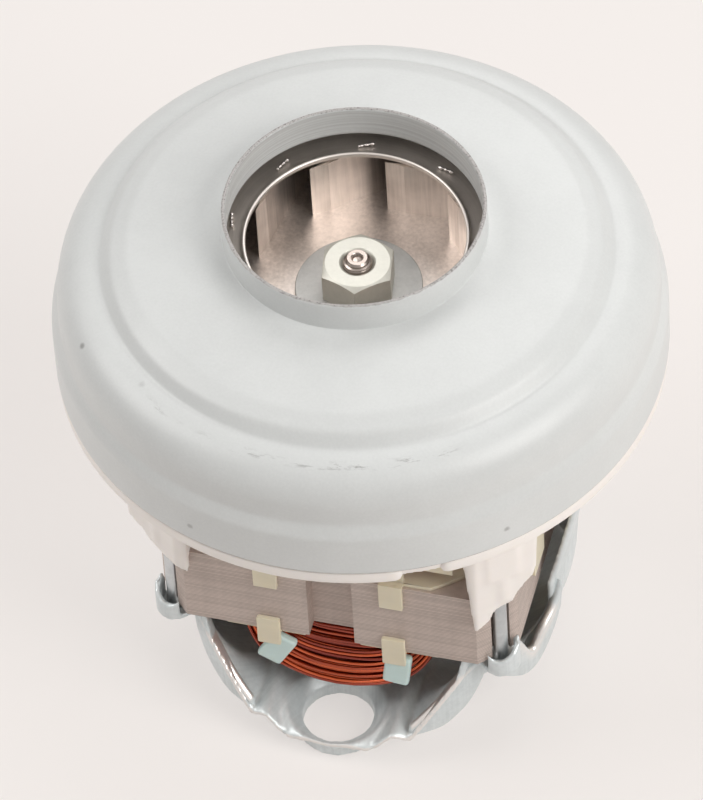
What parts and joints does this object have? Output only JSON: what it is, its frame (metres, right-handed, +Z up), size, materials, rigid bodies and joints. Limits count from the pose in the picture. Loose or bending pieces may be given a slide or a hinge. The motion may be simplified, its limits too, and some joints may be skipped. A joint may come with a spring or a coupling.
{
  "type": "vacuum motor unit",
  "caption": "Vacuum cleaner motor with a round sheet steel fan cover and inlet collar, riveted impeller, moulded diffuser frame, open field coils, brush gear and a pressed steel bracket.",
  "frame": {"origin": "on the shaft axis, in the plane of the bracket's lowest collars, which the unit stands on", "axes": "+Z up along the shaft towards the inlet; the open window of the bracket faces -Y; the tall arm of the bracket is on +X"},
  "size_m": [0.144, 0.144, 0.145],
  "materials": {
    "cover_paint": "satin light grey paint",
    "white_plastic": "satin warm white moulding",
    "lamination": "stacked laminations",
    "natural_nylon": "translucent natural nylon",
    "clip_plastic": "pale cyan moulding",
    "copper_wire": "enamelled copper wire",
    "commutator_copper": "turned copper",
    "phenolic": "brown moulding",
    "zinc_steel": "bright zinc plate",
    "nut_zinc": "yellowish zinc plate",
    "bearing_steel": "ground bearing steel",
    "shaft_steel": "ground steel",
    "brass": "drawn brass",
    "black_moulding": "black moulding",
    "carbon": "carbon",
    "fan_aluminium": "mill finish sheet",
    "fan_shroud": "dark sheet"
  },
  "bodies": {
    "motor_body": {"fan_cover": "cover_paint", "guide_vane_disc": "white_plastic", "diffuser_frame": "white_plastic", "stator_core": "lamination", "insulator_top": "natural_nylon", "insulator_bottom": "natural_nylon", "coil_clips": "clip_plastic", "field_coil_front": "copper_wire", "field_coil_rear": "copper_wire", "motor_bracket": "zinc_steel", "frame_screws": "zinc_steel", "fan_bearing_outer_race": "bearing_steel", "rear_bearing_outer_race": "bearing_steel", "bearing_spring_washer": "bearing_steel", "brush_holder_left": "black_moulding", "brush_holder_right": "black_moulding", "brush_tube_left": "brass", "brush_tube_right": "brass", "brush_cap_left": "brass", "brush_cap_right": "brass", "brush_spring_left": "bearing_steel", "brush_spring_right": "bearing_steel", "brush_holder_screws": "zinc_steel"},
    "rotor": {"rotor_shaft": "shaft_steel", "armature_core": "lamination", "armature_winding": "copper_wire", "commutator_hub": "phenolic", "commutator_bars": "commutator_copper", "impeller_front_disc": "fan_shroud", "impeller_rear_disc": "fan_aluminium", "impeller_blades": "fan_aluminium", "impeller_spacer": "shaft_steel", "impeller_washer": "zinc_steel", "impeller_nut": "nut_zinc", "fan_bearing_inner_race": "bearing_steel", "rear_bearing_inner_race": "bearing_steel"},
    "left_brush": {"carbon_brush_left": "carbon"},
    "right_brush": {"carbon_brush_right": "carbon"},
    "fan_ball_set": {"fan_bearing_balls": "bearing_steel", "fan_bearing_cage": "brass"},
    "rear_ball_set": {"rear_bearing_balls": "bearing_steel", "rear_bearing_cage": "brass"}
  },
  "joints": [
    {"name": "rotor_spin", "type": "hinge", "parent": "motor_body", "child": "rotor", "pos_m": [0, 0, 0], "axis": [0, 0, 1], "continuous": true},
    {"name": "left_brush_slide", "type": "slide", "parent": "motor_body", "child": "left_brush", "axis": [-1, 0, 0], "range_m": [0, 0.005], "stiffness_N_per_m": 250, "springref_m": -0.012, "deforming": ["brush_spring_left"]},
    {"name": "right_brush_slide", "type": "slide", "parent": "motor_body", "child": "right_brush", "axis": [1, 0, 0], "range_m": [0, 0.005], "stiffness_N_per_m": 250, "springref_m": -0.012, "deforming": ["brush_spring_right"]},
    {"name": "fan_balls_spin", "type": "hinge", "parent": "motor_body", "child": "fan_ball_set", "pos_m": [0, 0, 0], "axis": [0, 0, 1], "continuous": true},
    {"name": "rear_balls_spin", "type": "hinge", "parent": "motor_body", "child": "rear_ball_set", "pos_m": [0, 0, 0], "axis": [0, 0, 1], "continuous": true}
  ],
  "couplings": [
    {"joint": "fan_balls_spin", "follows": "rotor_spin", "ratio": 0.368},
    {"joint": "rear_balls_spin", "follows": "rotor_spin", "ratio": 0.368}
  ]
}
